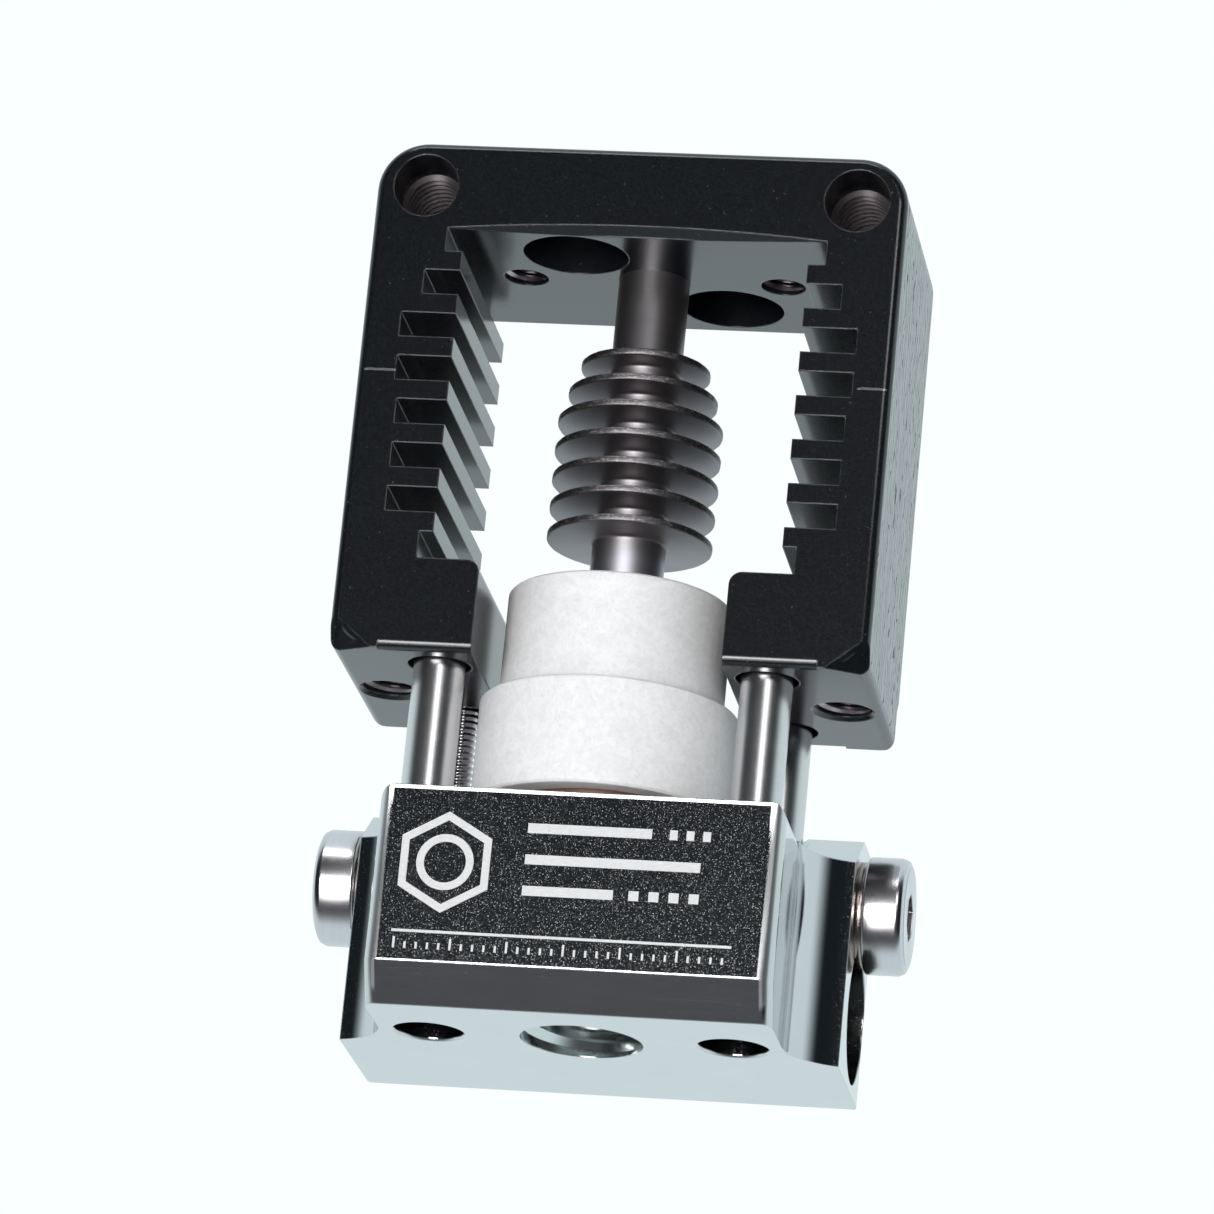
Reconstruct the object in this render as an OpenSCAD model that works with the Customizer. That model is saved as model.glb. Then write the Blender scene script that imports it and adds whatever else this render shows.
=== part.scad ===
// Hotend assembly for a filament 3D printer.
// Millimetres. The origin is the centre of the nozzle port's mouth on the heater block's underside.
// +Z points up towards the filament inlet, -Y is the fan side, +X is the heater bore's visible mouth.

/* [Heat sink frame] */
// Overall width across the two legs
frame_w = 24.6; // [22:0.1:30]
// Depth from the fan side to the rear
frame_d = 12.3; // [10:0.1:18]
// Height from the underside of the feet to the top
frame_h = 24.5; // [22:0.1:30]
// Corner radius of the outline
frame_r = 2.3; // [1:0.1:4]
// Edge round on the front and rear outline
frame_edge = 0.4; // [0.2:0.05:0.8]
// Thickness of the top bar
bar_t = 4.2; // [3.5:0.1:6]
// Height of the two feet
foot_h = 4.35; // [3.5:0.05:6]
// Half gap between the feet
foot_gap = 5.7; // [5.4:0.05:7]
// Half gap between the tooth tips
tooth_gap = 7.98; // [7:0.02:9]
// Number of cooling teeth on each leg
teeth = 7; // [3:1:7]
// Spacing of the teeth
tooth_pitch = 2.105; // [1.9:0.005:2.3]
// Thickness of a tooth
tooth_t = 0.95; // [0.6:0.05:1.2]

/* [Fan and mounting holes] */
// Distance between the two fan screw holes
fan_pitch = 20; // [16:0.5:24]
// Drop of the fan screw holes below the top
fan_drop = 2.15; // [2:0.05:3]
// Radius of the fan screw holes
fan_r = 1.5; // [1:0.05:1.6]
// Depth of the fan screw holes
fan_deep = 8; // [4:0.5:10]
// Distance between the two tapped holes under the feet
foot_pitch = 21; // [19:0.1:21.5]
// Radius of the tapped holes under the feet
foot_hole_r = 1.3; // [1:0.05:1.5]
// Distance between the two tapped holes in the top bar
top_pitch = 12.1; // [11:0.1:14]
// Radius of the tapped holes in the top bar
top_hole_r = 1.05; // [0.8:0.05:1.3]

/* [Heater block] */
// Height of the front boss
block_h = 10; // [9:0.1:13]
// Half width of the front boss
boss_x = 9.2; // [8:0.1:11]
// Front face of the boss ahead of the nozzle axis
boss_y = 6.05; // [5.5:0.05:8]
// Half width of the rear part
wide_x = 11.45; // [11:0.05:13]
// Rear face behind the nozzle axis
rear_y = 10.15; // [9.8:0.05:12]
// Extra height of the rear part
step_h = 1.25; // [0.5:0.05:2]
// Radius of the two scallops
scallop_r = 3; // [2:0.1:4]
// Height of the bevel under the front face
bevel_h = 1.75; // [0.5:0.05:2.5]
// Depth of the bevel under the front face
bevel_d = 1.25; // [0.5:0.05:2]
// Radius of the threaded nozzle port
port_r = 2.8; // [2.5:0.05:3.2]
// Radius of the heater cartridge bore
heater_r = 3.05; // [2:0.05:3.1]

/* [Heat break] */
// Outer radius of the finned sleeve's core
core_r = 1.65; // [1.5:0.05:2]
// Number of fins
fins = 7; // [3:1:7]
// Spacing of the fins
fin_pitch = 1.39; // [1.2:0.01:1.6]
// Thickness of a fin
fin_t = 0.3; // [0.2:0.05:0.6]
// Radius of the filament path
path_r = 1; // [0.9:0.05:1.1]

/* [Insulators and posts] */
// Radius of the upper insulator
upper_r = 5.15; // [4.5:0.05:5.5]
// Radius of the lower insulator
lower_r = 5.95; // [5.5:0.05:6.1]
// Outer radius of the post sleeves
post_r = 1.18; // [1:0.02:1.3]
// Radius of the threaded studs
stud_r = 0.6; // [0.5:0.05:0.75]
// Half distance between posts across the width
post_x = 7.5; // [7.2:0.05:7.8]
// Half distance between posts front to back
post_y = 3.8; // [3.4:0.05:4]

/* [Clamp screws] */
// Radius of the clamp screw head
head_r = 2.7; // [2.5:0.05:3]
// Height of the clamp screw head
head_h = 1.95; // [1.6:0.05:2.4]
// Height of the clamp screw axis above the underside
clamp_z = 8.05; // [7.9:0.05:8.4]
// Distance of the clamp screw axis behind the nozzle axis
clamp_y = 5.4; // [5.2:0.05:6]

/* [Hidden] */
$fn = 48;
e = 0.02;
front = -frame_d / 2;
frame_bot = 16.2;
frame_top = frame_bot + frame_h;
bar_bot = frame_top - bar_t;
foot_top = frame_bot + foot_h;
tooth_bot0 = bar_bot - 1.12 - tooth_t;
slot_floor = [8.78, 9.65, 10.52, 10.5, 10.31, 10.3, 10.3, 8.61];
heater_y = 6.5;
heater_z = 3.45;
seat_t = 0.45;
lower_top = 15.52;
upper_top = 20.7;
fin_bot = 23.53;
fin_r = [3.82, 3.82, 3.84, 3.84, 3.82, 3.46, 3];
sleeve_bot = 17.6;
tube_bot = 5.1;
port_len = 5;
collar_r = 2.2;
neck_r = 1.7;
washer_t = 0.3;
step_y = 2;
step_run = 1.43;
foot_hole_y = 0.4;
boss_r = 0.7;
low_r = 0.5;
rear_r = 0.8;

// Rectangle with round corners, centred
module round_rect(w, h, r) {
    square([w - 2 * r, h], center = true);
    square([w, h - 2 * r], center = true);
    for (sx = [-1, 1])
        for (sy = [-1, 1])
            translate([sx * (w / 2 - r), sy * (h / 2 - r)])
                circle(r);
}

// Outline block with round corners seen from the front and rounded front and rear edges
module soft_slab(w, d, h, r, edge) {
    rotate([90, 0, 90])
        linear_extrude(w - 2 * r, center = true)
            round_rect(d, h, edge);
    linear_extrude(h - 2 * r, center = true)
        round_rect(w, d, edge);
    for (sx = [-1, 1])
        for (sz = [-1, 1])
            translate([sx * (w / 2 - r), 0, sz * (h / 2 - r)])
                rotate([90, 0, 0])
                    rotate_extrude()
                        intersection() {
                            round_rect(2 * r, d, edge);
                            translate([0, -d])
                                square([r + 1, 2 * d]);
                        }
}

// Hole along Y that starts at the front face
module front_hole(x, z, r, deep) {
    translate([x, front - e, z])
        rotate([-90, 0, 0])
            cylinder(h = deep + e, r = r);
}

// Everything that is milled through the frame from front to rear
module frame_window() {
    linear_extrude(frame_d + 2, center = true) {
        translate([-foot_gap, -1])
            square([2 * foot_gap, foot_h + 2]);
        translate([-tooth_gap, foot_h])
            square([2 * tooth_gap, bar_bot - foot_top]);
        for (k = [0 : teeth]) {
            slot_top = k == 0 ? bar_bot : tooth_bot0 - (k - 1) * tooth_pitch;
            slot_bot = k == teeth ? foot_top : tooth_bot0 - k * tooth_pitch + tooth_t;
            translate([-slot_floor[k], slot_bot - frame_bot])
                square([2 * slot_floor[k], slot_top - slot_bot]);
        }
    }
}

// Inner corner rounds of the feet
module foot_corner() {
    for (sx = [-1, 1])
        translate([sx * foot_gap, 0, foot_top])
            rotate([90, 0, 0])
                linear_extrude(frame_d + 2, center = true)
                    difference() {
                        square([1.2, 1.2], center = true);
                        translate([sx * 0.6, -0.6])
                            circle(0.6);
                        translate([sx * 0.6, -1.2])
                            square([1.2, 1.2], center = true);
                        translate([sx * 1.2, -0.6])
                            square([1.2, 1.2], center = true);
                    }
}

// Lower right corner: tight through the depth, with a facet at the front
module low_corner() {
    x0 = frame_w / 2 - frame_r;
    difference() {
        intersection() {
            translate([x0, 0, frame_bot])
                rotate([90, 0, 0])
                    linear_extrude(frame_d, center = true) {
                        square([frame_r - low_r, frame_r]);
                        translate([0, low_r])
                            square([frame_r, frame_r - low_r]);
                        translate([frame_r - low_r, low_r])
                            circle(low_r);
                    }
            translate([x0, 0, frame_bot])
                linear_extrude(frame_r) {
                    translate([0, front])
                        square([frame_r - rear_r, frame_d]);
                    translate([0, front])
                        square([frame_r - frame_edge, frame_d - 2 * rear_r]);
                    translate([0, front + frame_edge])
                        square([frame_r, frame_d - frame_edge - rear_r]);
                    translate([frame_r - frame_edge, front + frame_edge])
                        circle(frame_edge);
                    translate([frame_r - rear_r, -front - rear_r])
                        circle(rear_r);
                }
        }
        translate([frame_w / 2 - 2, front, frame_bot])
            rotate([117.5, 0, 25.4])
                translate([-6, -6, 0])
                    cube([12, 12, 5]);
    }
}

module heat_sink_frame() {
    color([0.08, 0.08, 0.09])
        difference() {
            union() {
                translate([0, 0, frame_bot + frame_h / 2])
                    soft_slab(frame_w, frame_d, frame_h, frame_r, frame_edge);
                low_corner();
                mirror([1, 0, 0])
                    low_corner();
            }
            translate([0, 0, frame_bot])
                rotate([90, 0, 0])
                    frame_window();
            foot_corner();
            // Shallow arched relief along the front lower edge of the top bar
            intersection() {
                translate([0, front - e, bar_bot + 0.45 - 96])
                    rotate([-90, 0, 0])
                        cylinder(h = 0.45, r1 = 96, r2 = 95.6, $fn = 360);
                translate([0, front, bar_bot])
                    cube([2 * slot_floor[0], 2, 2], center = true);
            }
            for (sx = [-1, 1]) {
                front_hole(sx * fan_pitch / 2, frame_top - fan_drop, fan_r, fan_deep);
                translate([sx * foot_pitch / 2, foot_hole_y, frame_bot - e])
                    cylinder(h = 3.6, r = foot_hole_r);
                translate([sx * foot_pitch / 2, foot_hole_y, frame_bot - e])
                    cylinder(h = 0.2, r1 = foot_hole_r + 0.2, r2 = foot_hole_r);
                translate([sx * top_pitch / 2, 0, bar_bot - 1])
                    cylinder(h = bar_t + 2, r = top_hole_r);
                // Counterbored screw hole that is reached from inside the frame
                translate([sx * 3.25, sx * 3.2, bar_bot - 1])
                    cylinder(h = bar_t + 2, r = 1.35);
                translate([sx * 3.25, sx * 3.2, bar_bot - 1])
                    cylinder(h = 3.6, r = 2.45);
                for (sy = [-1, 1]) {
                    translate([sx * post_x, sy * post_y, frame_bot - e])
                        cylinder(h = 2.2, r = post_r + 0.28);
                    translate([sx * post_x, sy * post_y, frame_bot])
                        cylinder(h = 3.8, r = stud_r);
                }
            }
            // Seat of the heat break
            translate([0, 0, bar_bot - 1])
                cylinder(h = bar_t + 2, r = core_r);
            // Tapped hole for the set screw, from the rear
            translate([0, 0, bar_bot + bar_t / 2])
                rotate([-90, 0, 0])
                    cylinder(h = frame_d, r = 1.25);
        }
}

module heat_break_sleeve() {
    color([0.33, 0.29, 0.28])
        difference() {
            union() {
                translate([0, 0, fin_bot])
                    cylinder(h = frame_top - fin_bot, r = core_r);
                translate([0, 0, sleeve_bot])
                    cylinder(h = fin_bot - sleeve_bot + fin_t, r = neck_r);
                for (k = [0 : fins - 1])
                    translate([0, 0, fin_bot + k * fin_pitch])
                        cylinder(h = fin_t, r = fin_r[k]);
            }
            translate([0, 0, sleeve_bot - 1])
                cylinder(h = 40, r = path_r + 0.25);
        }
}

module heat_break_tube() {
    color([0.62, 0.62, 0.63])
        difference() {
            translate([0, 0, tube_bot])
                cylinder(h = frame_top - tube_bot, r = path_r + 0.25);
            translate([0, 0, tube_bot - 1])
                cylinder(h = 50, r = path_r);
        }
}

module heat_break_collar() {
    color([0.72, 0.45, 0.3])
        difference() {
            translate([0, 0, tube_bot])
                cylinder(h = block_h - tube_bot, r = collar_r);
            translate([0, 0, tube_bot - 1])
                cylinder(h = 12, r = path_r + 0.25);
        }
}

module heat_break_set_screw() {
    color([0.2, 0.2, 0.21])
        translate([0, 0, bar_bot + bar_t / 2])
            difference() {
                translate([0, core_r, 0])
                    rotate([-90, 0, 0])
                        cylinder(h = 3.6, r = 1.25);
                translate([0, core_r + 2.4, 0])
                    rotate([-90, 0, 0])
                        cylinder(h = 2, r = 0.73, $fn = 6);
            }
}

// Ceramic ring with broken edges
module insulator(r, bore, z0, z1) {
    translate([0, 0, z0])
        rotate_extrude()
            polygon([
                [bore, 0],
                [r - 0.12, 0],
                [r, 0.12],
                [r, z1 - z0 - 0.12],
                [r - 0.12, z1 - z0],
                [bore, z1 - z0]
            ]);
}

module upper_insulator() {
    color([0.9, 0.89, 0.88])
        translate([-0.12, 0, 0])
            insulator(upper_r, neck_r + 0.2, lower_top, upper_top);
}

module lower_insulator() {
    color([0.9, 0.89, 0.88])
        translate([-0.15, 0, 0])
            insulator(lower_r, 1.6, block_h + seat_t, lower_top);
}

module seat_ring() {
    color([0.72, 0.43, 0.28])
        difference() {
            translate([0, 0, block_h])
                cylinder(h = seat_t, r = 4.9);
            translate([0, 0, block_h - 1])
                cylinder(h = 3, r = 3.4);
        }
}

// Block outline seen from above
module block_plan() {
    difference() {
        union() {
            translate([-boss_x, -boss_y - 1])
                square([2 * boss_x, boss_y + 4]);
            translate([0, (rear_y - 1) / 2])
                round_rect(2 * wide_x, rear_y + 1, 0.8);
            translate([-wide_x, -1])
                square([2 * wide_x, 3]);
        }
        for (sx = [-1, 1])
            translate([sx * (boss_x + scallop_r), -0.95])
                circle(scallop_r);
        for (sx = [-1, 1])
            translate([sx * (boss_x + 5), -5.95])
                square([10, 10], center = true);
    }
}

// Block outline seen from the side
module block_side() {
    polygon([
        [-boss_y - 0.9, 0],
        [rear_y - 0.4, 0],
        [rear_y, 0.4],
        [rear_y, block_h + step_h - 0.4],
        [rear_y - 0.4, block_h + step_h],
        [-boss_y + 0.3 + step_h, block_h + step_h],
        [-boss_y + 0.3, block_h],
        [-boss_y + 0.09, block_h - 0.09],
        [-boss_y - 0.9, block_h - 2.4]
    ]);
}

// Outline of the boss with round front corners, its front face at 0
module boss_plan(r) {
    translate([-boss_x, r])
        square([2 * boss_x, 30]);
    translate([-boss_x + r, 0])
        square([2 * boss_x - 2 * r, 5]);
    for (sx = [-1, 1])
        translate([sx * (boss_x - r), r])
            circle(r);
}

// Boss with round front edges that follow the bevel under its front face
module soft_boss() {
    intersection() {
        translate([0, -boss_y, -1])
            linear_extrude(block_h + 3)
                boss_plan(boss_r);
        translate([0, -boss_y, bevel_h])
            rotate([atan(bevel_d / bevel_h), 0, 0])
                linear_extrude(60, center = true)
                    boss_plan(boss_r - 0.1);
    }
}

// Rear part seen from the side, with its slope behind the boss
module wide_side() {
    polygon([
        [-0.95, 0],
        [rear_y + 1, 0],
        [rear_y + 1, block_h + step_h + 1],
        [step_y + step_run * (step_h + 1.4), block_h + step_h + 1],
        [step_y, block_h - 0.4],
        [-0.95, block_h - 0.4]
    ]);
}

// Boss and rear part before drilling
module block_body() {
    intersection() {
        linear_extrude(block_h + step_h + 1)
            block_plan();
        rotate([90, 0, 90])
            linear_extrude(4 * wide_x, center = true)
                block_side();
        union() {
            // Boss with round upper corners
            intersection() {
                soft_boss();
                rotate([90, 0, 0])
                    linear_extrude(6 * boss_y, center = true)
                        union() {
                            translate([0, block_h / 2])
                                round_rect(2 * boss_x, block_h, 0.9);
                            translate([-boss_x, 0])
                                square([2 * boss_x, 5]);
                        }
            }
            // Rear part
            rotate([90, 0, 90])
                linear_extrude(2 * wide_x + 2, center = true)
                    wide_side();
        }
    }
}

module heater_block() {
    color([0.72, 0.73, 0.73])
        difference() {
            block_body();
            translate([0, 0, -1])
                cylinder(h = port_len + 1, r = port_r);
            translate([0, 0, -1])
                cylinder(h = 14, r = collar_r);
            // Round pocket for the lower insulator where the step rises
            translate([0, 0, block_h])
                cylinder(h = 4, r = lower_r + 0.2);
            translate([0, heater_y, heater_z])
                rotate([0, 90, 0])
                    cylinder(h = 4 * wide_x, r = heater_r, center = true);
            for (sx = [-1, 1]) {
                translate([sx * 6.95, -0.28, -e])
                    cylinder(h = 4.5, r = 1.58);
                translate([sx * 6.95, -0.28, -e])
                    cylinder(h = 0.12, r1 = 1.68, r2 = 1.58);
                translate([sx * wide_x, clamp_y, clamp_z])
                    rotate([0, 90, 0])
                        cylinder(h = 6.4, r = 1.25, center = true);
                for (sy = [-1, 1])
                    translate([sx * post_x, sy * post_y, 6.8])
                        cylinder(h = 8, r = stud_r);
                // Clearance round the rear posts where the step rises
                translate([sx * post_x, post_y, block_h])
                    cylinder(h = 8, r = post_r + 0.3);
            }
        }
}

// Spacer tube between block and foot
module post_sleeve(x, y) {
    color([0.7, 0.7, 0.71])
        translate([x, y, block_h])
            difference() {
                cylinder(h = frame_bot + 2 - block_h, r = post_r);
                translate([0, 0, -1])
                    cylinder(h = 12, r = stud_r + 0.15);
            }
}

// Threaded rod that ties the foot to the block
module post_stud(x, y) {
    color([0.55, 0.55, 0.56])
        translate([x, y, 7])
            cylinder(h = 12.6, r = stud_r);
}

module post_sleeve_front_left() {
    post_sleeve(-post_x, -post_y);
}

module post_sleeve_front_right() {
    post_sleeve(post_x, -post_y);
}

module post_sleeve_rear_right() {
    post_sleeve(post_x, post_y);
}

module post_stud_front_left() {
    post_stud(-post_x, -post_y);
}

module post_stud_front_right() {
    post_stud(post_x, -post_y);
}

module post_stud_rear_left() {
    post_stud(-post_x, post_y);
}

module post_stud_rear_right() {
    post_stud(post_x, post_y);
}

// Flat washer on the side of the block, built on the right
module clamp_washer() {
    color([0.45, 0.4, 0.37])
        translate([wide_x, clamp_y, clamp_z])
            rotate([0, 90, 0])
                difference() {
                    cylinder(h = washer_t, r = 2.45);
                    translate([0, 0, -1])
                        cylinder(h = 3, r = 1.25);
                }
}

// Low-head cap screw with a hexagon socket, built on the right
module clamp_screw() {
    color([0.68, 0.68, 0.69])
        translate([wide_x + washer_t, clamp_y, clamp_z])
            rotate([0, 90, 0])
                difference() {
                    union() {
                        rotate_extrude()
                            polygon([
                                [0, 0],
                                [head_r - 0.1, 0],
                                [head_r, 0.1],
                                [head_r, head_h - 0.4],
                                [head_r - 0.12, head_h - 0.12],
                                [head_r - 0.4, head_h],
                                [0, head_h]
                            ]);
                        translate([0, 0, -3.3])
                            cylinder(h = 3.4, r = 1.2);
                    }
                    translate([0, 0, head_h - 1.1])
                        cylinder(h = 2, r = 1.16, $fn = 6);
                }
}

module clamp_washer_right() {
    clamp_washer();
}

module clamp_washer_left() {
    mirror([1, 0, 0])
        clamp_washer();
}

module clamp_screw_right() {
    clamp_screw();
}

module clamp_screw_left() {
    mirror([1, 0, 0])
        clamp_screw();
}

heat_sink_frame();
heat_break_sleeve();
heat_break_tube();
heat_break_collar();
heat_break_set_screw();
upper_insulator();
lower_insulator();
seat_ring();
heater_block();
post_sleeve_front_left();
post_sleeve_front_right();
post_sleeve_rear_right();
post_stud_front_left();
post_stud_front_right();
post_stud_rear_left();
post_stud_rear_right();
clamp_washer_left();
clamp_washer_right();
clamp_screw_left();
clamp_screw_right();
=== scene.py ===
import math

import bmesh
import bpy
from mathutils import Matrix, Vector, noise


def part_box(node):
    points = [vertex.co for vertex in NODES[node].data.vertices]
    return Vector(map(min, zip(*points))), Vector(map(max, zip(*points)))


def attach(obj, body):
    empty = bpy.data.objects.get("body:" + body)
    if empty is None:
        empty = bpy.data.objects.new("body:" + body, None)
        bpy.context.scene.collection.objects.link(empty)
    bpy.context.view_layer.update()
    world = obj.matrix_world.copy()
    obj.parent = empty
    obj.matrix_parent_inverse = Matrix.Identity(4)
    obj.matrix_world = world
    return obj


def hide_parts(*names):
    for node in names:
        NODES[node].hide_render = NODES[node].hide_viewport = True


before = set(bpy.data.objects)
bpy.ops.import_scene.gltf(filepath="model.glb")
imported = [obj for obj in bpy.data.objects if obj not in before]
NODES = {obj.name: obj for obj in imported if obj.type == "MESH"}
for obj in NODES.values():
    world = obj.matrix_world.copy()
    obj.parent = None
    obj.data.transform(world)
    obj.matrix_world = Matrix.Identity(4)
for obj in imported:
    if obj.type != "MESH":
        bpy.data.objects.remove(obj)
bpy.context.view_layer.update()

# Visual model of the hotend assembly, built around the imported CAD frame.
# Sizes and places are in mm, and become metres in the mesh helpers. Names that end in _M are in metres.
# The origin is the centre of the nozzle port's mouth, +Z is up and -Y is the fan side.

MM = 0.001
COLLECTION = bpy.context.scene.collection
SIDES = (("left", -1), ("right", 1))


def box_mm(node_name):
    """Lowest and highest corners of a CAD node, in mm."""
    low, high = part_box(node_name)
    return low / MM, high / MM


FRAME_LOW, FRAME_HIGH = box_mm("heat_sink_frame")
BLOCK_LOW, BLOCK_HIGH = box_mm("heater_block")

# Camera, from the fit to the photograph
CAMERA_LENS = 218.53
CAMERA_AZIMUTH = 9.731
CAMERA_ELEVATION = -17.548
CAMERA_ROLL = 5.565
CAMERA_DISTANCE_M = 0.337732
CAMERA_TARGET_M = (-0.000759, 0, 0.020571)

LIGHT_DISTANCE_M = 0.6
LIGHT_TARGET_M = (0, 0, 0.018)
FLOOR_Z_M = -0.16

# Places of the tapped holes, as in the CAD
FAN_PITCH = 20
FAN_DROP = 2.15
FOOT_PITCH = 21
FOOT_HOLE_Y = 0.4
TOP_PITCH = 12.1
BAR_T = 4.2
BAR_BOTTOM = FRAME_HIGH.z - BAR_T
CLAMP_Y = 5.4
CLAMP_Z = 8.05


# ---------------------------------------------------------------- node helpers

def node(tree, kind, ins=None, **props):
    """New shader node: ins holds values or sockets by input, props are the node's own settings."""
    n = tree.nodes.new("ShaderNode" + kind)
    for name, value in props.items():
        setattr(n, name, value)
    for name, value in (ins or {}).items():
        if isinstance(value, bpy.types.NodeSocket):
            tree.links.new(value, n.inputs[name])
        else:
            n.inputs[name].default_value = value
    return n


def math_node(t, operation, *values):
    return node(t, "Math", dict(enumerate(values)), operation=operation).outputs[0]


def times(t, first, *others):
    """Product of two or more values."""
    for other in others:
        first = math_node(t, "MULTIPLY", first, other)
    return first


def plus(t, first, *others):
    """Sum of two or more values."""
    for other in others:
        first = math_node(t, "ADD", first, other)
    return first


def larger(t, a, b):
    return math_node(t, "MAXIMUM", a, b)


def absolute(t, value):
    return math_node(t, "ABSOLUTE", value)


def band(t, value, zero_at, one_at, curve="LINEAR"):
    """0 where the value is zero_at, 1 where it is one_at, a ramp between them and clamped beyond."""
    ends = {"Value": value, "From Min": zero_at, "From Max": one_at}
    return node(t, "MapRange", ends, interpolation_type=curve).outputs[0]


def between(t, value, first, last, ramp):
    """1 from first to last and 0 outside. The ramp is inside each end, and negative where last is lower."""
    return times(t, band(t, value, first, first + ramp), band(t, value, last, last - ramp))


def mix(t, fac, a, b):
    return node(t, "MixRGB", {"Fac": fac, "Color1": a, "Color2": b}).outputs[0]


def rgb(r, g, b):
    return (r, g, b, 1)


def xyz(t, vector):
    """The X, Y and Z outputs of a vector."""
    return node(t, "SeparateXYZ", {0: vector}).outputs


def millimetres(t, stretch=(1, 1, 1)):
    """The object's own coordinates in mm, stretched for directional grain."""
    here = node(t, "TexCoord").outputs["Object"]
    scale = tuple(1000 * s for s in stretch)
    return node(t, "VectorMath", {0: here, 1: scale}, operation="MULTIPLY").outputs[0]


def normal_xyz(t):
    """X, Y and Z of the surface's own normal."""
    return xyz(t, node(t, "TexCoord").outputs["Normal"])


def facing(t, axis, zero_at, one_at):
    """1 where the surface faces along an axis, or against it where both limits are negative."""
    return band(t, normal_xyz(t)[axis], zero_at, one_at)


def noise_tex(t, vector, scale, detail=2.0, rough=0.5, distortion=0.0):
    ins = {"Vector": vector, "Scale": scale, "Detail": detail, "Roughness": rough, "Distortion": distortion}
    return node(t, "TexNoise", ins).outputs["Fac"]


def grain_tex(t, stretch, detail=2.0, rough=0.5):
    """Directional noise: stretch gives the grain per mm along each axis."""
    return noise_tex(t, millimetres(t, stretch), 1.0, detail, rough)


def rounded_normal(t, radius, samples):
    """Normal of the surface as if its edges were rounded, radius in mm."""
    return node(t, "Bevel", {"Radius": radius * MM}, samples=samples).outputs[0]


def edges(t, radius):
    """0 on faces, rising towards 1 on sharp edges."""
    true_normal = node(t, "NewGeometry").outputs["Normal"]
    dot = node(t, "VectorMath", {0: rounded_normal(t, radius, 4), 1: true_normal}, operation="DOT_PRODUCT")
    return band(t, dot.outputs["Value"], 0.99, 0.8)


def bump(t, shader, height, strength, distance):
    """Bump on the shader's normal, distance in mm."""
    b = node(t, "Bump", {"Height": height, "Strength": strength, "Distance": distance * MM})
    t.links.new(b.outputs[0], shader.inputs["Normal"])
    return b


def material(name):
    m = bpy.data.materials.new(name)
    m.use_nodes = True
    t = m.node_tree
    return m, t, t.nodes["Principled BSDF"]


# ---------------------------------------------------------------- mesh helpers

def mesh_object(name, bm, mat=None, body=None, smooth=None):
    """Object from a bmesh, which it frees. Edges under the angle smooth, in degrees, are shaded smooth."""
    mesh = bpy.data.meshes.new(name)
    bmesh.ops.recalc_face_normals(bm, faces=bm.faces)
    bm.to_mesh(mesh)
    bm.free()
    obj = bpy.data.objects.new(name, mesh)
    COLLECTION.objects.link(obj)
    if smooth is not None:
        mesh.polygons.foreach_set("use_smooth", [True] * len(mesh.polygons))
        mesh.update()
        mesh.set_sharp_from_angle(angle=math.radians(smooth))
    if mat:
        mesh.materials.append(mat)
    if body:
        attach(obj, body)
    return obj


def circle_point(bm, radius, angle, z):
    return bm.verts.new((radius * math.cos(angle) * MM, radius * math.sin(angle) * MM, z * MM))


def bridge(bm, ring_a, ring_b):
    """Faces between two rings of as many points."""
    count = len(ring_a)
    for i in range(count):
        j = (i + 1) % count
        bm.faces.new((ring_a[i], ring_a[j], ring_b[j], ring_b[i]))


def lathe(profile, segs, uneven):
    """Closed solid of revolution about Z through (radius, height) points. uneven is added to the radius."""
    bm = bmesh.new()
    rings = []
    for r, z in profile:
        ring = []
        for i in range(segs):
            angle = 2 * math.pi * i / segs
            ring.append(circle_point(bm, r + uneven(angle, r, z), angle, z))
        rings.append(ring)
    for k, ring in enumerate(rings):
        bridge(bm, ring, rings[(k + 1) % len(rings)])
    return bm


def rounded(points, radii, steps=3):
    """Rounds the corners of a closed (radius, height) outline."""
    out = []
    count = len(points)
    for i, (point, radius) in enumerate(zip(points, radii)):
        corner = Vector(point)
        if not radius:
            out.append(tuple(corner))
            continue
        before = (Vector(points[i - 1]) - corner).normalized()
        after = (Vector(points[(i + 1) % count]) - corner).normalized()
        for s in range(steps + 1):
            f = s / steps
            out.append(tuple(corner + before * radius * (1 - f) ** 2 + after * radius * f ** 2))
    return out


def helix_ridge(r_base, r_crest, pitch, length, foot, crest, segs):
    """Thread ridge along +Z from 0. foot and crest are its widths along Z, segs its points in a turn."""
    fade_turns = 0.4
    least_height = 0.04
    bm = bmesh.new()
    turns = (length - foot) / pitch
    steps = max(8, int(turns * segs))
    last = None
    for s in range(steps + 1):
        f = s / steps
        angle = 2 * math.pi * turns * f
        z = foot / 2 + (length - foot) * f
        grow = min(1, f * turns / fade_turns, (1 - f) * turns / fade_turns)
        r_top = r_base + (r_crest - r_base) * max(least_height, grow)
        section = ((r_base, -foot / 2), (r_top, -crest / 2), (r_top, crest / 2), (r_base, foot / 2))
        ring = [circle_point(bm, r, angle, z + dz) for r, dz in section]
        if last:
            bridge(bm, last, ring)
        else:
            bm.faces.new(ring)
        last = ring
    bm.faces.new(last[::-1])
    return bm


def placed(bm, matrix):
    bmesh.ops.transform(bm, matrix=matrix, verts=bm.verts)
    return bm


def at(x, y, z):
    return Matrix.Translation((x * MM, y * MM, z * MM))


def merged(parts):
    """One bmesh from several, which it frees."""
    out = bmesh.new()
    for bm in parts:
        mesh = bpy.data.meshes.new("tmp")
        bm.to_mesh(mesh)
        bm.free()
        out.from_mesh(mesh)
        bpy.data.meshes.remove(mesh)
    return out


# ---------------------------------------------------------------- camera, lights, world, floor

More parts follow.
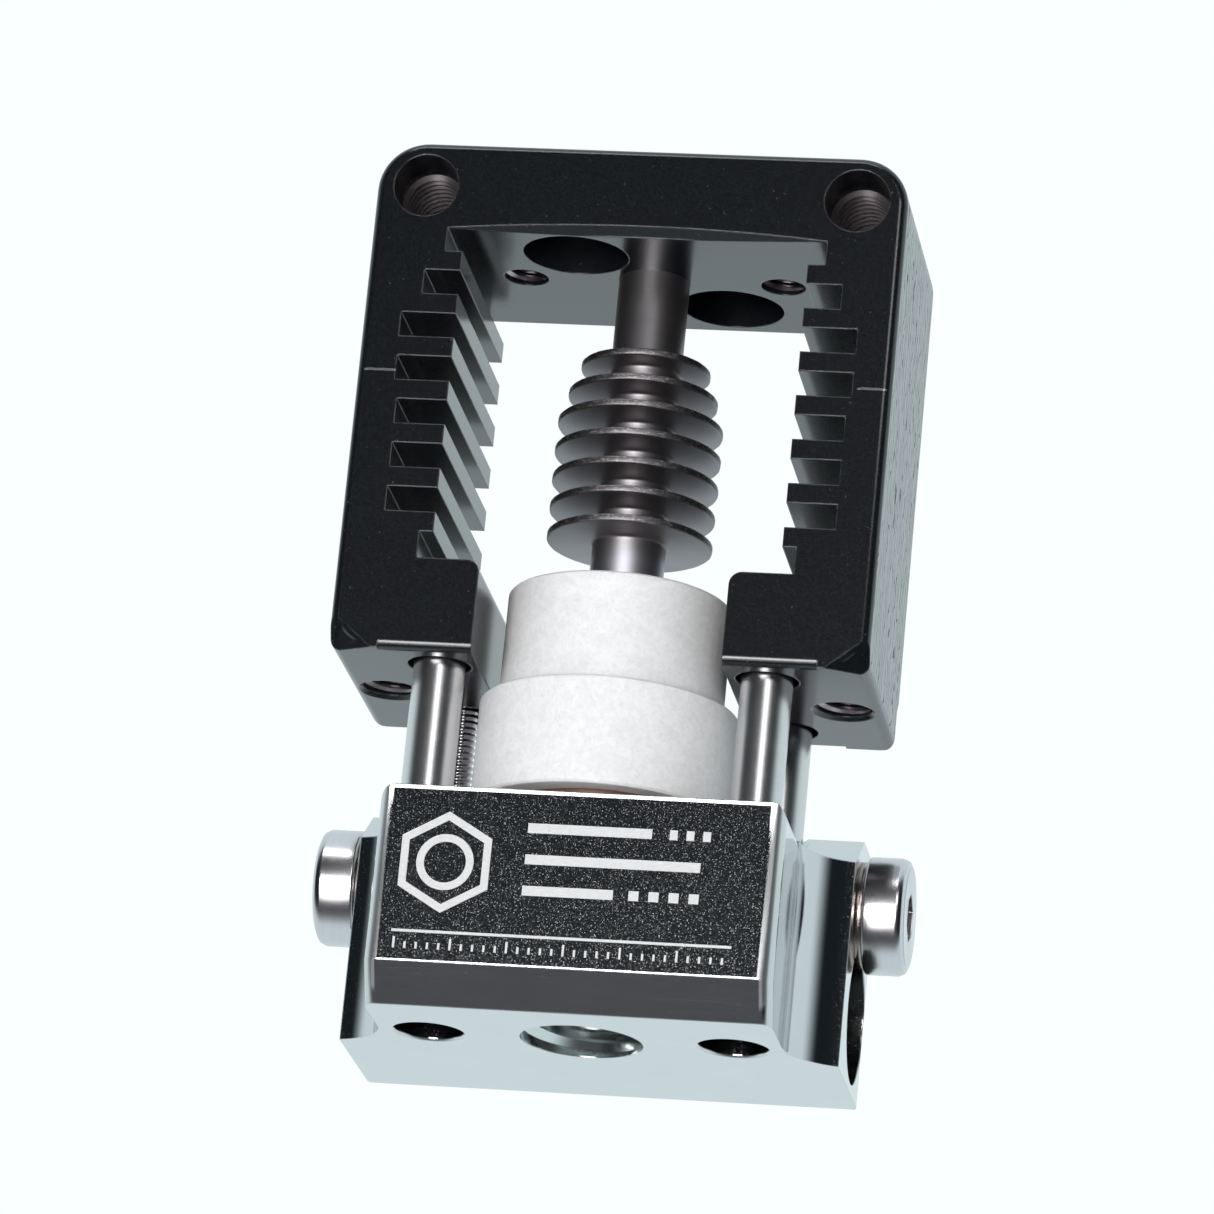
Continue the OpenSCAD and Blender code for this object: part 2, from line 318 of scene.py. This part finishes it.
def direction(azimuth, elevation):
    """Direction from the object towards a place at these angles. Azimuth 0 is the -Y side, 90 the +X side."""
    a, e = math.radians(azimuth), math.radians(elevation)
    return Vector((math.sin(a) * math.cos(e), -math.cos(a) * math.cos(e), math.sin(e)))


def make_camera():
    """Camera at the photograph's angle, rolled about its line of sight."""
    data = bpy.data.cameras.new("camera")
    data.lens = CAMERA_LENS
    data.sensor_width = 36
    data.clip_start = 0.01
    camera = bpy.data.objects.new("camera", data)
    COLLECTION.objects.link(camera)
    back = direction(CAMERA_AZIMUTH, CAMERA_ELEVATION)
    azimuth = math.radians(CAMERA_AZIMUTH)
    roll = math.radians(CAMERA_ROLL)
    level = Vector((math.cos(azimuth), math.sin(azimuth), 0))
    up = level.cross(-back)
    x_axis = level * math.cos(roll) + up * math.sin(roll)
    y_axis = up * math.cos(roll) - level * math.sin(roll)
    pose = Matrix((x_axis, y_axis, back)).transposed().to_4x4()
    pose.translation = Vector(CAMERA_TARGET_M) + back * CAMERA_DISTANCE_M
    camera.matrix_world = pose
    bpy.context.scene.camera = camera


def area_light(name, azimuth, elevation, width, height, power):
    """Rectangular light that the camera doesn't see, aimed at the part. Sizes in metres, power in watts."""
    data = bpy.data.lights.new(name, "AREA")
    data.shape = "RECTANGLE"
    data.size = width
    data.size_y = height
    data.energy = power
    light = bpy.data.objects.new(name, data)
    COLLECTION.objects.link(light)
    target = Vector(LIGHT_TARGET_M)
    light.location = target + direction(azimuth, elevation) * LIGHT_DISTANCE_M
    light.rotation_euler = (target - light.location).to_track_quat("-Z", "Y").to_euler()
    light.visible_camera = False


def make_lights():
    area_light("key", azimuth=-6, elevation=-9, width=0.3, height=0.2, power=2.7)
    area_light("strip", azimuth=13, elevation=19, width=0.16, height=0.16, power=0.32)
    area_light("low", azimuth=-10, elevation=-31, width=0.2, height=0.15, power=0.3)
    area_light("top_line", azimuth=-17, elevation=57, width=0.3, height=0.1, power=0.55)


def make_world():
    """A bright rear half and a dark front half, as in a light tent that is open towards the camera."""
    bright, dark, dim = rgb(0.80, 0.92, 0.96), rgb(0.012, 0.016, 0.02), rgb(0.085, 0.085, 0.095)
    backdrop = rgb(0.96, 1.0, 1.0)
    world = bpy.data.worlds.new("studio")
    bpy.context.scene.world = world
    world.use_nodes = True
    t = world.node_tree
    t.nodes.clear()
    way = xyz(t, node(t, "TexCoord").outputs["Generated"])
    rear = band(t, way["Y"], -0.44, 0.12, "SMOOTHSTEP")
    top = band(t, way["Z"], 0.8, 0.97, "SMOOTHSTEP")
    below = band(t, way["Z"], -0.6, -0.75, "SMOOTHSTEP")
    tone = mix(t, larger(t, rear, top), mix(t, below, dark, dim), bright)
    shown = mix(t, node(t, "LightPath").outputs["Is Camera Ray"], tone, backdrop)
    background = node(t, "Background", {"Color": shown, "Strength": 1.0})
    node(t, "OutputWorld", {"Surface": background.outputs[0]})


def make_floor():
    """Pale floor, far enough under the part for a camera that looks up at it."""
    bm = bmesh.new()
    bmesh.ops.create_grid(bm, x_segments=8, y_segments=8, size=4)
    floor = mesh_object("floor", bm)
    floor.location = (0, 0, FLOOR_Z_M)
    m, t, shader = material("floor_paint")
    grain = node(t, "TexNoise", {"Scale": 30.0, "Detail": 4.0})
    tone = mix(t, grain.outputs["Fac"], rgb(0.86, 0.89, 0.89), rgb(0.9, 0.93, 0.93))
    t.links.new(tone, shader.inputs["Base Color"])
    shader.inputs["Roughness"].default_value = 0.8
    floor.data.materials.append(m)
    floor.visible_glossy = False


# ---------------------------------------------------------------- materials

def wavy_lines(t, place):
    """1 on the wavy engraved lines of the frame's two outer sides."""
    sideways = larger(t, facing(t, "X", 0.93, 0.99), facing(t, "X", -0.93, -0.99))
    outermost = band(t, absolute(t, place["X"]), FRAME_HIGH.x - 0.2, FRAME_HIGH.x - 0.05)
    slow_wave = times(t, grain_tex(t, (0, 0.55, 0.30)), 2.4)
    quick_wave = times(t, grain_tex(t, (0, 1.6, 0.9), rough=0.6), 0.5)
    across = plus(t, place["Y"], plus(t, slow_wave, quick_wave))
    lines_per_mm = 1.7
    phase = math_node(t, "FRACT", times(t, across, lines_per_mm))
    off_line = absolute(t, math_node(t, "SUBTRACT", phase, 0.5))
    broken = band(t, grain_tex(t, (0, 2.2, 0.7), detail=3.0, rough=0.6), 0.36, 0.52)
    return times(t, band(t, off_line, 0.10, 0.02), broken, sideways, outermost)


def leg_marks(t, place):
    """1 on two fine tool marks across the front of the legs."""
    mark_z = 29.6
    wander = times(t, grain_tex(t, (2.2, 0, 0), detail=3.0, rough=0.7), 0.22)
    off_mark = absolute(t, plus(t, place["Z"], plus(t, -mark_z, wander)))
    right = between(t, place["X"], 10.7, 12.1, 0.2)
    left = between(t, place["X"], -10.4, -12.0, -0.2)
    return times(t, band(t, off_mark, 0.06, 0.02), plus(t, right, left), facing(t, "Y", -0.5, -0.9))


def black_anodised():
    """Fine-grained black with flecks, bare metal where edges are rubbed, which also serves as a painted edge
    highlight, and the engraved lines.
    """
    m, t, shader = material("black_anodised_fine")
    mm = millimetres(t)
    place = xyz(t, mm)
    grain = noise_tex(t, mm, scale=11.0, detail=3.0, rough=0.6)
    cloud = noise_tex(t, mm, scale=0.5)
    fleck = band(t, noise_tex(t, mm, scale=5.5, detail=1.0), 0.74, 0.80)
    tone = plus(t, times(t, band(t, grain, 0.3, 0.75), 0.75), times(t, cloud, 0.25))
    colour = mix(t, tone, rgb(0.002, 0.0026, 0.0035), rgb(0.009, 0.0105, 0.013))
    colour = mix(t, times(t, fleck, 0.35), colour, rgb(0.12, 0.13, 0.14))
    line = wavy_lines(t, place)
    patches = band(t, noise_tex(t, mm, scale=1.6, detail=4.0, rough=0.7), 0.38, 0.60)
    # Bright edges: partly wear through to bare metal, partly a painted highlight along the sharp edges.
    rubbed_edge_and_highlight = times(t, edges(t, 0.08), patches)
    colour = mix(t, times(t, rubbed_edge_and_highlight, 0.8), colour, rgb(0.30, 0.275, 0.285))
    mark = leg_marks(t, place)
    colour = mix(t, times(t, mark, 0.9), colour, rgb(0.55, 0.52, 0.53))
    t.links.new(colour, shader.inputs["Base Color"])
    t.links.new(times(t, larger(t, rubbed_edge_and_highlight, mark), 0.85), shader.inputs["Metallic"])
    rough = plus(t, 0.15, plus(t, times(t, grain, 0.08), times(t, line, 0.5)))
    t.links.new(rough, shader.inputs["Roughness"])
    shader.inputs["IOR"].default_value = 1.65
    milling = grain_tex(t, (0.25, 9, 9))
    height = plus(t, times(t, grain, 0.7), times(t, milling, 0.25), times(t, line, -2.2))
    relief = bump(t, shader, height, strength=0.3, distance=0.006)
    t.links.new(rounded_normal(t, 0.10, 4), relief.inputs["Normal"])
    return m


def nickel():
    """Bright plated metal: a speckled front, brushed lines on the bevel and duller turned front edges."""
    m, t, shader = material("nickel_plate")
    mm = millimetres(t)
    fine = noise_tex(t, mm, scale=16.0, rough=0.6)
    cloud = noise_tex(t, mm, scale=0.35, detail=3.0)
    speck = band(t, noise_tex(t, mm, scale=15.0, rough=0.7), 0.54, 0.72)
    front_speck = times(t, speck, facing(t, "Y", -0.8, -0.97))
    bevel = times(t, facing(t, "Y", -0.5, -0.7), facing(t, "Z", -0.3, -0.5))
    colour = mix(t, cloud, rgb(0.60, 0.615, 0.62), rgb(0.68, 0.69, 0.69))
    colour = mix(t, times(t, fine, 0.25), colour, rgb(0.5, 0.5, 0.5))
    colour = mix(t, times(t, front_speck, 0.35), colour, rgb(0.55, 0.54, 0.54))
    t.links.new(colour, shader.inputs["Base Color"])
    shader.inputs["Metallic"].default_value = 1.0
    lean = absolute(t, normal_xyz(t)["X"])
    near_front = band(t, xyz(t, mm)["Y"], BLOCK_LOW.y + 0.95, BLOCK_LOW.y + 0.75)
    turned_edge = times(t, band(t, lean, 0.03, 0.12), band(t, lean, 0.8, 0.6), near_front)
    rough = plus(t, 0.07, times(t, turned_edge, 0.28), times(t, fine, 0.05))
    rough = plus(t, rough, plus(t, times(t, front_speck, 0.25), times(t, bevel, 0.12)))
    t.links.new(rough, shader.inputs["Roughness"])
    brush = times(t, grain_tex(t, (0.2, 26, 26)), plus(t, 0.12, times(t, bevel, 5.0)))
    relief = bump(t, shader, plus(t, times(t, fine, 0.35), brush), strength=0.22, distance=0.004)
    t.links.new(rounded_normal(t, 0.10, 6), relief.inputs["Normal"])
    return m


def turned_metal(name, base, light, rough, groove=9.0, axis=2, strength=0.2, aniso=0.0, spots=0.0):
    """Metal with fine lathe marks about the axis with this index, groove of them in a mm."""
    m, t, shader = material(name)
    mm = millimetres(t)
    stretch = [0.35, 0.35, 0.35]
    stretch[axis] = groove
    marks = grain_tex(t, stretch, detail=3.0, rough=0.65)
    fine = noise_tex(t, mm, scale=12.0)
    cloud = noise_tex(t, mm, scale=0.8)
    colour = mix(t, plus(t, times(t, marks, 0.6), times(t, cloud, 0.4)), base, light)
    if spots:
        dot = band(t, noise_tex(t, mm, scale=4.2, detail=3.0, rough=0.7), 0.66, 0.72)
        colour = mix(t, times(t, dot, spots), colour, rgb(0.8, 0.76, 0.76))
    t.links.new(colour, shader.inputs["Base Color"])
    shader.inputs["Metallic"].default_value = 1.0
    uneven = plus(t, times(t, fine, 0.06), times(t, cloud, 0.04))
    t.links.new(plus(t, rough - 0.04, uneven), shader.inputs["Roughness"])
    if aniso:
        shader.inputs["Anisotropic"].default_value = aniso
        tangent = node(t, "Tangent", direction_type="RADIAL", axis="XYZ"[axis])
        t.links.new(tangent.outputs[0], shader.inputs["Tangent"])
    bump(t, shader, plus(t, marks, times(t, fine, 0.3)), strength, distance=0.004)
    return m


def heat_break():
    """Dark turned metal: darker rim sides, rims rubbed bright in places, and a lighter lower end."""
    m, t, shader = material("heat_break_turned")
    mm = millimetres(t)
    marks = grain_tex(t, (0.3, 0.3, 16), detail=3.0, rough=0.6)
    fine = noise_tex(t, mm, scale=14.0)
    cloud = noise_tex(t, mm, scale=0.7)
    tone = plus(t, times(t, marks, 0.5), times(t, cloud, 0.5))
    colour = mix(t, tone, rgb(0.25, 0.235, 0.245), rgb(0.38, 0.355, 0.37))
    place = xyz(t, mm)
    flat_place = node(t, "CombineXYZ", {0: place["X"], 1: place["Y"]}).outputs[0]
    radius = node(t, "VectorMath", {0: flat_place}, operation="LENGTH").outputs["Value"]
    rim = band(t, radius, 2.6, 2.9)
    patches = noise_tex(t, millimetres(t, (1, 1, 2.5)), scale=5.0, detail=4.0, rough=0.75)
    upright = absolute(t, normal_xyz(t)["Z"])
    worn = times(t, rim, band(t, upright, 0.95, 0.6), band(t, patches, 0.53, 0.62))
    below_fins = band(t, place["Z"], 23.4, 22.4)
    colour = mix(t, times(t, below_fins, 0.75), colour, rgb(0.50, 0.50, 0.55))
    # Darker colour on the sides of the fin rims.
    darker_rim_sides = times(t, rim, band(t, upright, 0.5, 0.2))
    colour = mix(t, times(t, darker_rim_sides, 0.6), colour, rgb(0.11, 0.105, 0.11))
    colour = mix(t, times(t, worn, 0.8), colour, rgb(0.60, 0.55, 0.54))
    t.links.new(colour, shader.inputs["Base Color"])
    shader.inputs["Metallic"].default_value = 1.0
    rough = plus(t, 0.40, plus(t, times(t, fine, 0.10), times(t, worn, 0.08)))
    t.links.new(rough, shader.inputs["Roughness"])
    height = plus(t, times(t, marks, 0.8), times(t, fine, 0.3), times(t, worn, 1.5))
    bump(t, shader, height, strength=0.3, distance=0.005)
    return m


def ceramic():
    """Unglazed white ceramic: mottled, crumbly and a little stained, with glints."""
    m, t, shader = material("ceramic_unglazed")
    mm = millimetres(t)
    fine = noise_tex(t, mm, scale=9.0, detail=3.0, rough=0.6)
    cloud = noise_tex(t, mm, scale=0.45, detail=3.0)
    colour = mix(t, cloud, rgb(0.75, 0.73, 0.73), rgb(0.87, 0.85, 0.85))
    marble = band(t, noise_tex(t, mm, scale=1.5, detail=5.0, rough=0.72, distortion=0.9), 0.40, 0.66)
    colour = mix(t, times(t, marble, 0.30), colour, rgb(0.50, 0.48, 0.485))
    crumb = band(t, noise_tex(t, mm, scale=5.0, detail=3.0, rough=0.7), 0.52, 0.66)
    colour = mix(t, times(t, crumb, 0.24), colour, rgb(0.52, 0.50, 0.50))
    colour = mix(t, times(t, fine, 0.22), colour, rgb(0.56, 0.55, 0.55))
    stain = band(t, grain_tex(t, (0.8, 0.8, 0.25), detail=3.0, rough=0.6), 0.60, 0.80)
    colour = mix(t, times(t, stain, 0.10), colour, rgb(0.66, 0.63, 0.60))
    t.links.new(colour, shader.inputs["Base Color"])
    glint = band(t, noise_tex(t, mm, scale=6.0, detail=1.0), 0.70, 0.78)
    rough = plus(t, 0.42, plus(t, times(t, fine, 0.25), times(t, glint, -0.22)))
    t.links.new(rough, shader.inputs["Roughness"])
    shader.inputs["Subsurface Weight"].default_value = 0.08
    shader.inputs["Subsurface Radius"].default_value = (0.6 * MM, 0.55 * MM, 0.5 * MM)
    shader.inputs["Subsurface Scale"].default_value = 1.0
    turning = times(t, grain_tex(t, (0.2, 0.2, 7)), 0.5)
    bump(t, shader, plus(t, fine, turning), strength=0.25, distance=0.008)
    return m


def etched():
    """Pale matt etching, worn through in places."""
    m, t, shader = material("etched_mark")
    mm = millimetres(t)
    hatch = grain_tex(t, (3.0, 3.0, 24))
    fine = noise_tex(t, mm, scale=18.0)
    worn = band(t, noise_tex(t, mm, scale=6.0, detail=4.0, rough=0.75), 0.62, 0.72)
    colour = mix(t, hatch, rgb(0.52, 0.505, 0.505), rgb(0.74, 0.72, 0.72))
    colour = mix(t, times(t, worn, 0.7), colour, rgb(0.22, 0.22, 0.23))
    t.links.new(colour, shader.inputs["Base Color"])
    t.links.new(plus(t, 0.5, times(t, fine, 0.25)), shader.inputs["Roughness"])
    bump(t, shader, fine, strength=0.4, distance=0.006)
    return m


def make_materials():
    return {
        "black_anodised": black_anodised(),
        "nickel": nickel(),
        "heat_break": heat_break(),
        "ceramic": ceramic(),
        "etched": etched(),
        "stainless": turned_metal("stainless_polished", rgb(0.60, 0.60, 0.61), rgb(0.74, 0.73, 0.73),
                                  rough=0.24, groove=7.0, strength=0.3, aniso=0.6),
        "screw": turned_metal("screw_turned", rgb(0.54, 0.53, 0.55), rgb(0.72, 0.71, 0.72),
                              rough=0.20, groove=12.0, axis=0, strength=0.35, aniso=0.6, spots=0.35),
        "washer": turned_metal("washer_tinted", rgb(0.34, 0.28, 0.25), rgb(0.50, 0.43, 0.39),
                               rough=0.25, axis=0),
        "copper": turned_metal("copper_bare", rgb(0.30, 0.19, 0.14), rgb(0.46, 0.30, 0.22), rough=0.32),
        "black_steel": turned_metal("black_oxide", rgb(0.05, 0.05, 0.055), rgb(0.11, 0.11, 0.12),
                                    rough=0.35, axis=1),
        "thread": turned_metal("thread_cut", rgb(0.36, 0.33, 0.34), rgb(0.58, 0.54, 0.55),
                               rough=0.22, groove=6.0, strength=0.15),
        "port": turned_metal("thread_port", rgb(0.56, 0.60, 0.59), rgb(0.74, 0.77, 0.76),
                             rough=0.2, groove=8.0, strength=0.15),
        "thread_dark": turned_metal("thread_anodised", rgb(0.38, 0.33, 0.35), rgb(0.62, 0.55, 0.57),
                                    rough=0.3, groove=6.0, strength=0.15)}


# ---------------------------------------------------------------- carried-over CAD nodes

def smooth_group():
    """Geometry nodes: forget the stored normals, then smooth every edge under 32 degrees."""
    g = bpy.data.node_groups.new("smooth_by_angle", "GeometryNodeTree")
    g.interface.new_socket("Geometry", in_out="INPUT", socket_type="NodeSocketGeometry")
    g.interface.new_socket("Geometry", in_out="OUTPUT", socket_type="NodeSocketGeometry")
    start = g.nodes.new("NodeGroupInput")
    end = g.nodes.new("NodeGroupOutput")
    forget = g.nodes.new("GeometryNodeRemoveAttribute")
    forget.inputs["Name"].default_value = "custom_normal"
    faces = g.nodes.new("GeometryNodeSetShadeSmooth")
    faces.inputs["Shade Smooth"].default_value = True
    sharp = g.nodes.new("GeometryNodeSetShadeSmooth")
    sharp.domain = "EDGE"
    sharp.inputs["Shade Smooth"].default_value = False
    angle = g.nodes.new("GeometryNodeInputMeshEdgeAngle")
    over = g.nodes.new("FunctionNodeCompare")
    over.data_type = "FLOAT"
    over.operation = "GREATER_THAN"
    over.inputs[1].default_value = math.radians(32)
    g.links.new(start.outputs[0], forget.inputs[0])
    g.links.new(forget.outputs[0], faces.inputs[0])
    g.links.new(faces.outputs[0], sharp.inputs[0])
    g.links.new(angle.outputs["Unsigned Angle"], over.inputs[0])
    g.links.new(over.outputs[0], sharp.inputs["Selection"])
    g.links.new(sharp.outputs[0], end.inputs[0])
    return g


def soften(obj, width, group):
    """Clean shading for a CAD node, with its sharp edges bevelled where a width in mm is given."""
    weld = obj.modifiers.new("weld", "WELD")
    weld.merge_threshold = 1e-6
    planar = obj.modifiers.new("planar", "DECIMATE")
    planar.decimate_type = "DISSOLVE"
    planar.angle_limit = math.radians(0.4)
    if width:
        bevel = obj.modifiers.new("edges", "BEVEL")
        bevel.width = width * MM
        bevel.segments = 2
        bevel.limit_method = "ANGLE"
        bevel.angle_limit = math.radians(34)
        bevel.use_clamp_overlap = False
        bevel.miter_outer = "MITER_ARC"
        bevel.loop_slide = False
    smooth = obj.modifiers.new("smooth", "NODES")
    smooth.node_group = group
    weighted = obj.modifiers.new("weighted", "WEIGHTED_NORMAL")
    weighted.keep_sharp = True
    weighted.weight = 60


def finish_cad():
    """Material and edge width of each CAD node that stays. Width 0: the material rounds the edges."""
    group = smooth_group()
    plan = {
        "heat_sink_frame": ("black_anodised", 0),
        "heater_block": ("nickel", 0),
        "heat_break_tube": ("stainless", 0),
        "heat_break_collar": ("copper", 0.05),
        "heat_break_set_screw": ("black_steel", 0.04),
        "upper_insulator": ("ceramic", 0.04),
        "lower_insulator": ("ceramic", 0.04),
        "seat_ring": ("copper", 0.04)}
    for place in ("front_left", "front_right", "rear_right"):
        plan["post_sleeve_" + place] = ("stainless", 0.04)
        plan["post_stud_" + place] = ("stainless", 0.03)
    for side, _ in SIDES:
        plan["clamp_washer_" + side] = ("washer", 0.04)
        plan["clamp_screw_" + side] = ("screw", 0.04)
    for name, (mat, width) in plan.items():
        obj = NODES[name]
        for slot in obj.material_slots:
            slot.material = MAT[mat]
        soften(obj, width, group)


# ---------------------------------------------------------------- new pieces

def knocked(angle, r, z):
    """Unevenness of the fin rims, outside a radius of 2.8. The core stays true."""
    if r < 2.8:
        return 0.0
    p = Vector((math.cos(angle) * 6, math.sin(angle) * 6, z * 1.7))
    return 0.016 * noise.noise(p * 1.5) + 0.010 * noise.noise(p * 5)


def make_heat_break():
    """Finned sleeve with rounded, slightly knocked fin rims."""
    low, high = box_mm("heat_break_sleeve")
    core, neck, bore = 1.65, 1.7, 1.25
    first_fin, fin_pitch, fin_t = 23.51, 1.39, 0.34
    fin_radii = (3.82, 3.82, 3.84, 3.84, 3.82, 3.46, 3.0)
    top = high.z - 0.01
    points = [(bore, low.z), (neck, low.z)]
    rounds = [0, 0.1]
    for k, fin_r in enumerate(fin_radii):
        inner = neck if k == 0 else core
        z = first_fin + fin_pitch * k
        points += [(inner, z), (fin_r, z), (fin_r, z + fin_t), (core, z + fin_t)]
        rounds += [0.16, 0.1, 0.1, 0.16]
    points += [(core, top), (bore, top)]
    rounds += [0.1, 0]
    bm = lathe(rounded(points, rounds), 128, knocked)
    sleeve = mesh_object("heat_break_turned", bm, MAT["heat_break"], "hotend", 40)
    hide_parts("heat_break_sleeve")


def make_stud():
    """Bare threaded rod with a real helical thread that fades out at both ends."""
    low, high = box_mm("post_stud_rear_left")
    middle = (low + high) / 2
    root, crest, pitch, fade = 0.5, 0.6, 0.3, 0.3
    segs, rows_per_turn = 30, 6
    length = high.z - low.z
    rows = round(length / pitch * rows_per_turn)
    bm = bmesh.new()
    last = None
    for k in range(rows + 1):
        z = low.z + length * k / rows
        end = max(0, min(1, (z - low.z) / fade, (high.z - z) / fade))
        ring = []
        for i in range(segs):
            f = (z / pitch - i / segs) % 1.0
            height = 1 - abs(2 * f - 1)
            r = root + (crest - root) * min(1, max(0, 1.25 * height - 0.1)) * end
            ring.append(circle_point(bm, r, 2 * math.pi * i / segs, z))
        if last:
            bridge(bm, last, ring)
        else:
            bm.faces.new(ring[::-1])
        last = ring
    bm.faces.new(last)
    placed(bm, at(middle.x, middle.y, 0))
    stud = mesh_object("stud_rear_left_threaded", bm, MAT["thread"], "hotend", 60)
    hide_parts("post_stud_rear_left")


def add_thread(name, ridge, matrix, mat, body="hotend"):
    mesh_object(name, placed(ridge, matrix), MAT[mat], body, 25)


def make_threads():
    """Thread ridges in the tapped holes and on the clamp screws."""
    port = helix_ridge(r_base=2.82, r_crest=2.4, pitch=1.0, length=4.8, foot=0.9, crest=0.14, segs=72)
    add_thread("nozzle_port_thread", port, at(0, 0, BLOCK_LOW.z + 0.05), "port")
    to_rear = Matrix.Rotation(math.radians(-90), 4, "X")
    fan_start = FRAME_LOW.y + 2.1
    fan_z = FRAME_HIGH.z - FAN_DROP
    for side, x in SIDES:
        fan = helix_ridge(r_base=1.52, r_crest=1.26, pitch=0.5, length=5.8, foot=0.43, crest=0.08, segs=48)
        fan_place = at(FAN_PITCH / 2 * x, fan_start, fan_z) @ to_rear
        add_thread("fan_thread_" + side, fan, fan_place, "thread_dark")
        foot = helix_ridge(r_base=1.32, r_crest=1.1, pitch=0.45, length=3.2, foot=0.38, crest=0.08, segs=44)
        foot_place = at(FOOT_PITCH / 2 * x, FOOT_HOLE_Y, FRAME_LOW.z + 0.2)
        add_thread("foot_thread_" + side, foot, foot_place, "thread_dark")
        top = helix_ridge(r_base=1.07, r_crest=0.88, pitch=0.4, length=4.0, foot=0.34, crest=0.07, segs=40)
        top_place = at(TOP_PITCH / 2 * x, 0, BAR_BOTTOM + 0.1)
        add_thread("top_thread_" + side, top, top_place, "thread_dark")
        clamp = helix_ridge(r_base=1.19, r_crest=1.245, pitch=0.5, length=3.2, foot=0.36, crest=0.1, segs=40)
        inwards = Matrix.Rotation(math.radians(-90 * x), 4, "Y")
        clamp_place = at((BLOCK_HIGH.x + 0.27) * x, CLAMP_Y, CLAMP_Z) @ inwards
        add_thread("clamp_thread_" + side, clamp, clamp_place, "screw", side + "_screw")


def plate(points, holes=()):
    """Thin etched figure on the front of the block, from (x, z) points."""
    proud, sunk = 0.02, 0.02
    bm = bmesh.new()
    outline = []
    for loop in (points, *holes):
        verts = [bm.verts.new((x * MM, (BLOCK_LOW.y - proud) * MM, z * MM)) for x, z in loop]
        for i, vert in enumerate(verts):
            outline.append(bm.edges.new((vert, verts[(i + 1) % len(verts)])))
    bmesh.ops.triangle_fill(bm, use_beauty=True, use_dissolve=False, edges=outline)
    out = bmesh.ops.extrude_face_region(bm, geom=bm.faces[:])
    moved = [g for g in out["geom"] if isinstance(g, bmesh.types.BMVert)]
    bmesh.ops.translate(bm, verts=moved, vec=(0, (proud + sunk) * MM, 0))
    return bm


def slab(x, z, width, height):
    return plate([(x, z), (x + width, z), (x + width, z + height), (x, z + height)])


def polygon(radius, corners, turn=0):
    """Regular polygon about the etched nut's middle. turn shifts its corners, 1 being a whole side."""
    nut_x, nut_z = -5.9, 6.35
    angles = [2 * math.pi * (i + turn) / corners for i in range(corners)]
    return [(nut_x + radius * math.cos(a), nut_z + radius * math.sin(a)) for a in angles]


def make_etching():
    """Generic etched figures: a nut outline, a group of bars, a rule and a row of ticks."""
    parts = [
        plate(polygon(2.35, 6, 0.5), [polygon(1.95, 6, 0.5)]),
        plate(polygon(1.3, 36), [polygon(0.95, 36)])]
    bars_x, top_row, row_step, bar_t = -2.3, 7.9, 1.45, 0.45
    for k, length in enumerate((5.6, 7.9, 4.1)):
        parts.append(slab(bars_x, top_row - row_step * k, length, bar_t))
    for k in range(3):
        parts.append(slab(4.1 + 0.75 * k, top_row, 0.35, bar_t))
    for k in range(4):
        parts.append(slab(2.5 + 0.9 * k, top_row - row_step * 2, 0.45, bar_t))
    parts.append(slab(-8.0, 3.05, 15.3, 0.12))
    tick_pitch, tick_t, tick_low = 0.51, 0.1, 2.3
    for k in range(30):
        tick_h = 0.52 if k % 5 == 0 else 0.3
        parts.append(slab(-7.9 + tick_pitch * k, tick_low, tick_t, tick_h))
    mesh_object("etched_figures", merged(parts), MAT["etched"], "hotend")


# ---------------------------------------------------------------- scene

make_camera()
make_world()
MAT = make_materials()
make_floor()
make_lights()
finish_cad()
make_heat_break()
make_stud()
make_threads()
make_etching()
bpy.context.scene.view_settings.view_transform = "Standard"
